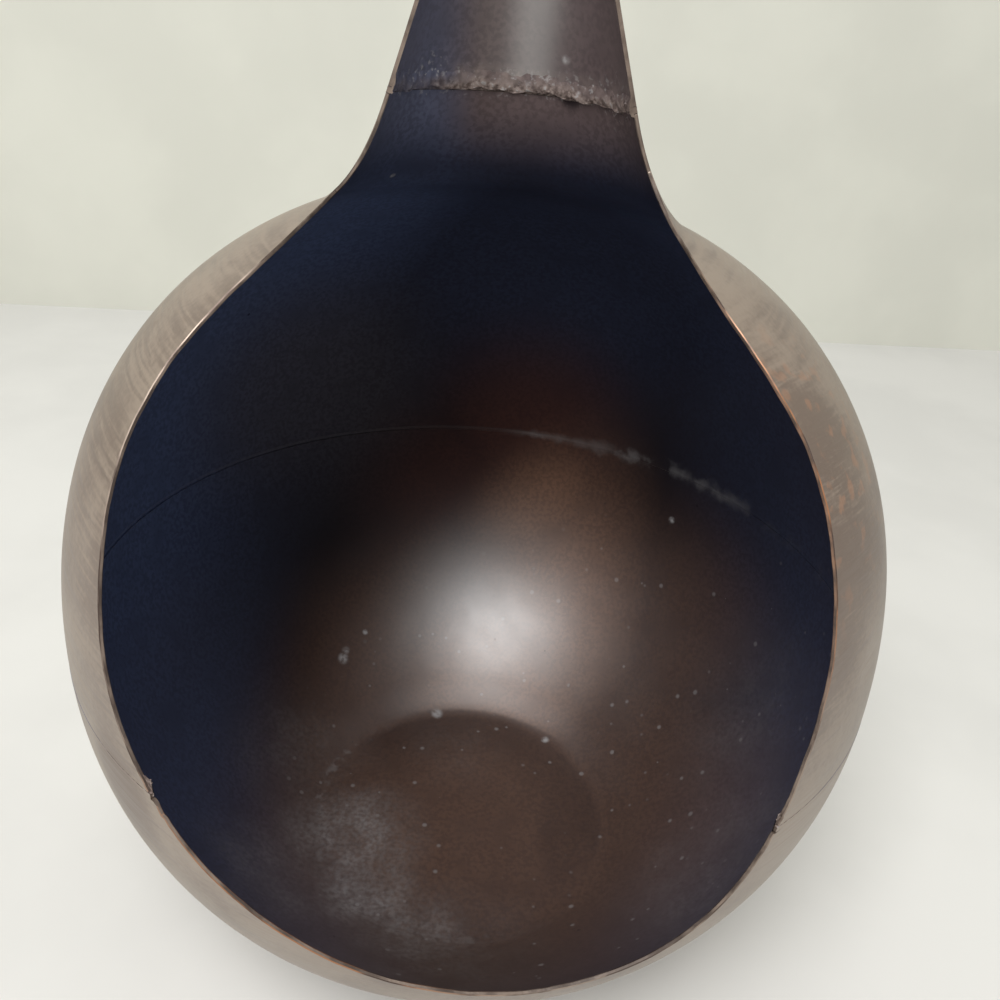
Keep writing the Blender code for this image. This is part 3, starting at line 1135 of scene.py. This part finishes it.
def inner_colour(coords, place, colours):
    """Painted sky reflection towards the rim, slate on the left, brown low at the back as painted light and
    in the neck, black painted shade elsewhere.
    """
    x, y, z = (place[axis] for axis in "XYZ")
    outward = math_node("ADD", math_node("ABSOLUTE", x), ramp(x, -0.03, 0.03, 0.0, -0.016))
    outward = math_node("MULTIPLY_ADD", math_node("SUBTRACT", z, y), 0.75, outward)
    rim = times(ramp(outward, 0.03, 0.14), ramp(x, -0.03, 0.01, 0.94, 0.5))
    # Painted reflection of bluish sky light, towards the rim and higher up inside.
    sky_reflection_share = times(
        either(rim, ramp(z, 0.075, 0.145, 0.0, 0.3)),
        ramp(z, 0.157, 0.17, 1.0, 0.38),
    )
    base = mix(sky_reflection_share, colours.inner_black, colours.inner_blue)
    slate = near(coords, (-0.056, 0.066, 0.097), 0.01, 0.055)
    base = mix(times(slate, 0.7), base, colours.inner_slate)
    # Painted light: a redder glow above the seam and beside the highlight.
    above = near(coords, (0.012, 0.088, 0.084), 0.006, 0.046)
    beside = near(coords, (-0.012, 0.084, 0.058), 0.006, 0.045)
    painted_glow = times(either(above, times(beside, 0.75)), 0.66)
    base = mix(painted_glow, base, colours.inner_russet)

    radius = length(coords)
    aslant = math_node("SUBTRACT", x, z)
    # Painted light: brown laid where the lamp's light falls, low at the back, round the highlight, on the
    # right side and on the bottom; the black left elsewhere is painted shade.
    back = near(coords, (0.026, 0.066, 0.028), 0.004, 0.064, stretch=(1.4, 1, 0.86))
    over = near(coords, (0.016, 0.083, 0.056), 0.006, 0.036, stretch=(1.15, 1, 1))
    under = near(coords, (0.008, 0.048, 0.008), 0.008, 0.05)
    painted_light = times(
        either(back, under, times(over, 0.85)),
        ramp(radius, 0.0395, 0.043),
        ramp(aslant, -0.08, -0.036),
    )
    side = times(near(coords, (0.058, 0.048, 0.032), 0.010, 0.056), 0.37)
    bottom = times(
        ramp(z, 0.015, 0.052, 0.46, 0.0),
        ramp(x, -0.075, -0.03),
        ramp(x, 0.03, 0.045, 1.0, 0.8),
        ramp(y, -0.048, -0.01, 0.62, 1.0),
    )
    base = mix(either(painted_light, side, bottom), base, colours.inner_brown)
    # Painted dark reflection along the far edge of the flat foot, and a painted shadow in a band on its
    # right.
    painted_dark_reflection = times(
        ramp(radius, 0.018, 0.035),
        ramp(radius, 0.038, 0.0405, 0.3, 0.0),
        ramp(math_node("MULTIPLY_ADD", x, 0.5, y), -0.004, 0.016),
    )
    painted_shadow = near(coords, (0.029, -0.002, 0.001), 0.006, 0.014, stretch=(1.5, 0.5, 1))
    painted_shadow = times(painted_shadow, 0.24)
    base = mix(either(painted_dark_reflection, painted_shadow), base, colours.inner_black)

    # Painted reflection of bluish sky light on the left of the neck, the stem's own brown elsewhere.
    neck = mix(ramp(x, -0.018, -0.006), colours.stem_blue, colours.stem_brown)
    base = mix(ramp(z, 0.167, 0.184), base, neck)
    off_weld = distance_from(NECK_LEVEL, z)
    stain = times(
        ramp(off_weld, 0.0006, 0.0032, 0.8, 0.0),
        ramp(x, -0.0145, -0.009),
        ramp(x, -0.004, 0.004, 1.0, 0.5),
        ramp(noise(moved(coords, 0.3), 0.0025, detail=5.0), 0.35, 0.62, 0.25, 1.0),
    )
    base = mix(stain, base, colours.weld_tan)
    # Painted shade in a small hollow just below the neck weld.
    painted_pit_shade = near(coords, (0.0115, 0.0195, 0.1850), 0.001, 0.0034)
    base = mix(times(painted_pit_shade, 0.75), base, colours.inner_black)
    mottle = ramp(noise(coords, 0.009, detail=5.0), 0.4, 0.75, 0.0, 0.25)
    grain = ramp(noise(moved(coords, 0.1), 0.0011, detail=4.0), 0.36, 0.64, 0.0, 0.3)
    base = mix(either(mottle, grain), base, colours.inner_black)
    return mix(inner_dust(coords, place, radius), base, colours.dust)


def bowl_sheen(coords, place):
    """The bowl's lining shines at the back and bottom, most by the foot, less above and on the left."""
    off_edge = distance_from(FOOT_RADIUS + 0.0025, length(coords))
    edge = times(ramp(off_edge, 0.002, 0.01, 0.5, 0.0), ramp(place["Y"], 0.005, 0.025))
    aslant = math_node("SUBTRACT", place["X"], place["Z"])
    return times(
        ramp(place["Z"], 0.006, 0.022, 0.84, 1.0),
        ramp(place["Z"], 0.032, 0.07, 1.06, 0.17),
        ramp(aslant, -0.074, -0.036, 0.22, 1.0),
        math_node("ADD", edge, 1.0),
    )


def stem_sheen(coords, place):
    """The stem's lining shines down a strip right of its middle."""
    return times(
        ramp(place["X"], -0.0045, 0.003, 0.25, 1.0),
        ramp(place["X"], 0.0045, 0.0105, 0.67, 0.27),
    )


def lining(name, colours, sheen, ior):
    """Satin patina with dust and small pits, over painted light, shade and sky reflection."""
    material, shader, coords = new_material(name)
    place = axes(coords)
    mottle = noise(coords, 0.014, detail=4.0)
    pits = times(spots(moved(coords, 0.6), 0.008, 0.0006), ramp(mottle, 0.4, 0.6))
    base = inner_colour(coords, place, colours)
    grain = ramp(mottle, 0.25, 0.75, 0.365, 0.405)
    relief = math_node("MULTIPLY_ADD", noise(coords, 0.0016, detail=2.0), 0.05, mottle)
    set_inputs(shader, {
        "Base Color": mix(times(pits, 0.7), base, colours.inner_black),
        "Specular IOR Level": sheen(coords, place),
        "Roughness": math_node("MULTIPLY_ADD", pits, 0.2, grain),
        "Normal": bump(relief, 0.00005),
        "IOR": ior,
    })
    return material


def bowl_lining(colours):
    return lining("bowl_lining", colours, bowl_sheen, 1.65)


def stem_lining(colours):
    return lining("stem_lining", colours, stem_sheen, 2.4)


def outer_patina(colours):
    """Rubbed taupe with level spin marks, browner right of the mouth with slanted scratches and rust, and
    painted light on the right flank.
    """
    material, shader, coords = new_material("outer_patina")
    level = noise(moved(coords, 0.1, stretch=(1, 1, 30)), 0.02, detail=5.0)
    slanted = moved(coords, 0.3, stretch=(1, 1, 14), turn=(0.5, 0.5, 0))
    scratches = noise(slanted, 0.008, detail=7.0)
    by_mouth = near(coords, (0.056, -0.050, 0.121), 0.014, 0.056)
    marks = blend(by_mouth, level, scratches)
    cloud = noise(coords, 0.018, detail=6.0)
    grain = noise(moved(coords, 0.7), 0.0011, detail=4.0)
    worn = math_node("MULTIPLY_ADD", marks, 1.05, cloud)
    worn = math_node("MULTIPLY_ADD", grain, 0.4, worn)
    dull = either(
        times(by_mouth, 0.42),
        times(near(coords, (-0.075, -0.030, 0.125), 0.01, 0.06), 0.15),
        times(near(coords, (-0.060, -0.067, 0.072), 0.004, 0.016), 0.35),
    )
    worn = math_node("SUBTRACT", worn, dull)
    # Painted light: lighter towards the right, as if lit more from that side.
    worn = math_node("ADD", worn, ramp(axes(coords)["X"], 0.04, 0.085, 0.0, 0.26))
    base = mix(ramp(worn, 0.87, 1.39), colours.outer_dark, colours.outer_taupe)
    rusty = near(coords, (0.058, -0.040, 0.134), 0.008, 0.036)
    flakes = ramp(noise(moved(coords, 0.9), 0.0035, detail=6.0), 0.54, 0.66)
    base = mix(times(rusty, flakes, 0.45), base, colours.copper)
    relief = math_node("MULTIPLY_ADD", grain, 0.3, marks)
    set_inputs(shader, {
        "Base Color": base,
        "Roughness": ramp(marks, 0.3, 0.7, 0.36, 0.48),
        "Normal": bump(relief, 0.00004),
        "IOR": 1.85,
    })
    return material


def by_right(coords):
    """High on the right of the mouth."""
    return near(coords, (0.055, -0.045, 0.135), 0.015, 0.05)


def cut_edge(colours):
    """The cut face: brown scale with rubbed spots, coppery high on the right."""
    material, shader, coords = new_material("cut_edge")
    scale = noise(coords, 0.006, detail=4.0)
    rubbed = mix(times(by_right(coords), 0.5), colours.cut_rubbed, colours.copper)
    set_inputs(shader, {
        "Base Color": mix(ramp(scale, 0.38, 0.66), colours.cut_scale, rubbed),
        "Normal": bump(noise(coords, 0.0008), 0.00006),
        "Metallic": 0.3,
        "Roughness": 0.5,
    })
    return material


def worn_corner(colours):
    """The corners of the cut, rubbed to bare metal: pale, coppery high on the right and low in front."""
    material, shader, coords = new_material("worn_corner")
    rubbed = noise(coords, 0.009, detail=4.0)
    front = near(coords, (-0.03, -0.075, 0.05), 0.015, 0.05)
    bare = mix(either(by_right(coords), front), colours.bare_metal, colours.copper)
    set_inputs(shader, {
        "Base Color": mix(ramp(rubbed, 0.38, 0.58), colours.corner_scale, bare),
        "Metallic": 0.6,
        "Roughness": 0.4,
    })
    return material


def weld_crust(colours):
    """Gritty weld metal, tan along the neck and at the seam's ends, elsewhere under the lining's patina and
    painted light.
    """
    material, shader, coords = new_material("weld_crust")
    place = axes(coords)
    across = add(material.node_tree, "ShaderNodeAttribute", attribute_name="across").outputs["Fac"]
    crumbly = noise(coords, 0.0010, detail=5.0)
    crust = mix(ramp(crumbly, 0.36, 0.6), colours.weld_brown, colours.weld_tan)
    crust = mix(ramp(crumbly, 0.58, 0.7, 0.0, 0.6), crust, colours.dust)
    ragged = math_node("MULTIPLY_ADD", noise(coords, 0.004, detail=5.0), 2.4, across)
    neck = times(
        ramp(place["Z"], 0.15, 0.17),
        ramp(ragged, 0.8, 1.9, 1.0, 0.0),
        ramp(place["X"], -0.019, -0.011, 0.3, 1.0),
    )
    ends = ramp(place["Y"], -0.0645, -0.058, 1.0, 0.0)
    bare = either(neck, ends)
    set_inputs(shader, {
        "Base Color": mix(bare, inner_colour(coords, place, colours), crust),
        "Normal": bump(times(crumbly, bare), 0.00025),
        "Roughness": 0.45,
        "Specular IOR Level": 0.3,
    })
    return material


def finish_material(maker):
    """The material of this maker, made once."""
    found = bpy.data.materials.get(maker.__name__)
    return found or maker(bpy.context.scene.catchall_colours)


def sheet_materials(lined_with):
    return [finish_material(maker) for maker in (outer_patina, lined_with, cut_edge, worn_corner)]


def bead_materials():
    return [finish_material(maker) for maker in (weld_crust, outer_patina, cut_edge)]


# Stage


def plain_cloth(name, colour):
    """Pale, matt and slightly uneven."""
    material, shader, coords = new_material(name)
    darker = tuple(0.94 * channel for channel in colour)
    blotch = ramp(noise(coords, 0.09, detail=4.0), 0.35, 0.65)
    set_inputs(shader, {
        "Base Color": mix(blotch, darker, colour),
        "Roughness": 0.9,
        "Specular IOR Level": 0.1,
    })
    return material


def flat_sheet(name, corners, material):
    mesh = bpy.data.meshes.new(name)
    mesh.from_pydata(corners, [], [(0, 1, 2, 3)])
    mesh.materials.append(material)
    add_object(name, mesh)


def add_floor(stage):
    """A wide floor under the bowl, and an upright backdrop behind it."""
    reach, top, drop = 4.0, 3.0, -0.0001
    turn = Matrix.Rotation(stage.backdrop_turn, 3, "Z")
    foot = turn @ Vector((0, stage.backdrop_distance, 0))
    side = turn @ Vector((reach, 0, 0))
    low = Vector((0, 0, drop))
    front = turn @ Vector((0, -reach, 0))
    floor = [foot - side + front + low, foot + side + front + low, foot + side + low, foot - side + low]
    flat_sheet("floor", floor, plain_cloth("floor_cloth", stage.floor_colour))
    rise = Vector((0, 0, top))
    wall = [foot - side + low, foot + side + low, foot + side + rise, foot - side + rise]
    flat_sheet("backdrop", wall, plain_cloth("backdrop_cloth", stage.backdrop_colour))


def add_light(stage):
    """One soft lamp above and behind the camera, and an even sky."""
    lamp = bpy.data.lights.new("soft_lamp", "AREA")
    lamp.energy = stage.lamp_power
    lamp.size = stage.lamp_side
    obj = add_object("soft_lamp", lamp)
    place = Vector(stage.lamp_place)
    aim = Vector((0, 0, CAD_BOX[1].z / 3)) - place
    obj.matrix_world = Matrix.Translation(place) @ aim.to_track_quat("-Z", "Y").to_matrix().to_4x4()
    world = bpy.data.worlds.new("studio")
    world.use_nodes = True
    sky = world.node_tree.nodes["Background"]
    set_inputs(sky, {"Color": (*stage.sky_colour, 1), "Strength": stage.sky_strength})
    bpy.context.scene.world = world


def add_camera(stage):
    """The photograph's viewpoint."""
    data = bpy.data.cameras.new("camera")
    data.sensor_width = SENSOR_WIDTH
    data.lens = stage.lens
    data.clip_start = 0.005
    obj = add_object("camera", data)
    pitch, roll = stage.camera_pitch, stage.camera_roll
    ahead = Vector((0, math.cos(pitch), -math.sin(pitch)))
    above = Vector((0, math.sin(pitch), math.cos(pitch)))
    right = Vector((math.cos(roll), 0, 0)) + above * math.sin(roll)
    up = above * math.cos(roll) - Vector((math.sin(roll), 0, 0))
    turn = Matrix((right, up, -ahead)).transposed().to_4x4()
    obj.matrix_world = Matrix.Translation(stage.camera_place) @ turn
    bpy.context.scene.camera = obj
    bpy.context.scene.view_settings.view_transform = "Standard"


# Operators


class PieceOperator:
    """What the pieces' operators share."""

    bl_options = {"REGISTER", "UNDO"}

    def sizes(self, context):
        scene = context.scene
        return scene.catchall_body, scene.catchall_mouth, scene.catchall_welds


class CATCHALL_OT_lower_shell(PieceOperator, bpy.types.Operator):
    """Make the lower half of the body, with the flat foot pressed into it"""

    bl_idname = "catchall.lower_shell"
    bl_label = "Lower Shell"

    def execute(self, context):
        body, mouth, welds = self.sizes(context)
        section = lower_section(body, welds.gap / 2)
        grid = lower_grid(body, mouth, section)
        obj = spun_sheet("spun_lower_shell", section, grid, body, sheet_materials(bowl_lining))
        finished(obj, "lower_shell")
        return {"FINISHED"}


class CATCHALL_OT_upper_shell(PieceOperator, bpy.types.Operator):
    """Make the upper half of the body, over the shoulder into the collar"""

    bl_idname = "catchall.upper_shell"
    bl_label = "Upper Shell"

    def execute(self, context):
        body, mouth, welds = self.sizes(context)
        section = upper_section(body, welds.gap / 2)
        grid = upper_grid(body, mouth, section, welds.gap / 2)
        obj = spun_sheet("spun_upper_shell", section, grid, body, sheet_materials(bowl_lining))
        finished(obj, "upper_shell")
        return {"FINISHED"}


class CATCHALL_OT_stem(PieceOperator, bpy.types.Operator):
    """Make the tapered half-round stem"""

    bl_idname = "catchall.stem"
    bl_label = "Stem"

    def execute(self, context):
        body, _, welds = self.sizes(context)
        section = stem_section(body, welds.gap / 2)
        grid = stem_grid(section)
        obj = spun_sheet("tapered_stem", section, grid, body, sheet_materials(stem_lining))
        finished(obj, "stem")
        return {"FINISHED"}


class CATCHALL_OT_seam_weld(PieceOperator, bpy.types.Operator):
    """Make the bead round the body where the two shells meet"""

    bl_idname = "catchall.seam_weld"
    bl_label = "Seam Weld"

    def execute(self, context):
        body, mouth, welds = self.sizes(context)
        outline = bead_outline(welds.seam_width, welds.seam_height, welds.gap, body.wall)
        section = bead_section(Vector((body.body_radius, body.seam_height)), Vector((0, 1)), outline)
        angle = lip_angle(body, mouth, body.seam_height)
        right, left = (lip_point(body, mouth, angle, side)[0] for side in (1, -1))
        start = front_turn(right, body.body_radius)
        end = front_turn(left, body.body_radius) + math.tau
        turns = spread(start, end, SEAM_BEAD_COLUMNS)
        grid = bead_grid(section, outline, turns, seam_path(body, welds, start, end))
        materials = bead_materials()
        obj = spun_bead("seam_bead", section, grid, welds.seam_lump, body, welds, materials)
        crusted(obj, SEAM_CRUST, welds.seam_grain, welds, materials[0])
        finished(obj, "seam_weld")
        return {"FINISHED"}


class CATCHALL_OT_neck_weld(PieceOperator, bpy.types.Operator):
    """Make the coarse bead where the stem meets the collar"""

    bl_idname = "catchall.neck_weld"
    bl_label = "Neck Weld"

    def execute(self, context):
        body, _, welds = self.sizes(context)
        outline = bead_outline(
            welds.neck_width, welds.neck_height, welds.gap, body.wall, welds.neck_lean
        )
        joint = Vector((body.stem_radius, neck_height(body)))
        section = bead_section(joint, stem_direction(body), outline)
        turns = spread(0, math.pi, NECK_BEAD_COLUMNS)
        grid = bead_grid(section, outline, turns, neck_path(body, welds))
        materials = bead_materials()
        obj = spun_bead("neck_bead", section, grid, welds.neck_lump, body, welds, materials)
        crusted(obj, NECK_CRUST, welds.neck_grain, welds, materials[0])
        finished(obj, "neck_weld")
        return {"FINISHED"}


class CATCHALL_OT_stage(bpy.types.Operator):
    """Make the floor, the backdrop, the soft light and the camera"""

    bl_idname = "catchall.stage"
    bl_label = "Stage"

    def execute(self, context):
        stage = context.scene.catchall_stage
        add_floor(stage)
        add_light(stage)
        add_camera(stage)
        return {"FINISHED"}


class CATCHALL_PT_panel(bpy.types.Panel):
    """The bowl's pieces and sizes"""

    bl_idname = "CATCHALL_PT_panel"
    bl_label = "Catchall Bowl"
    bl_space_type = "VIEW_3D"
    bl_region_type = "UI"
    bl_category = "Catchall"

    def draw(self, context):
        for operator in PIECE_OPERATORS:
            self.layout.operator(operator.bl_idname)
        for name, group in PROPERTY_GROUPS.items():
            box = self.layout.box()
            box.label(text=group.__doc__)
            for key in group.__annotations__:
                box.prop(getattr(context.scene, name), key)


PROPERTY_GROUPS = {
    "catchall_body": BodySizes,
    "catchall_mouth": MouthSizes,
    "catchall_welds": WeldSizes,
    "catchall_colours": FinishColours,
    "catchall_stage": StageSettings,
}
PIECE_OPERATORS = (
    CATCHALL_OT_lower_shell,
    CATCHALL_OT_upper_shell,
    CATCHALL_OT_stem,
    CATCHALL_OT_seam_weld,
    CATCHALL_OT_neck_weld,
    CATCHALL_OT_stage,
)
CLASSES = (*PROPERTY_GROUPS.values(), *PIECE_OPERATORS, CATCHALL_PT_panel)


def register():
    for cls in CLASSES:
        bpy.utils.register_class(cls)
    for name, group in PROPERTY_GROUPS.items():
        setattr(bpy.types.Scene, name, PointerProperty(type=group))


def unregister():
    for name in PROPERTY_GROUPS:
        delattr(bpy.types.Scene, name)
    for cls in reversed(CLASSES):
        bpy.utils.unregister_class(cls)


def main():
    register()
    bpy.ops.catchall.lower_shell()
    bpy.ops.catchall.upper_shell()
    bpy.ops.catchall.stem()
    bpy.ops.catchall.seam_weld()
    bpy.ops.catchall.neck_weld()
    bpy.ops.catchall.stage()


if __name__ == "__main__":
    main()
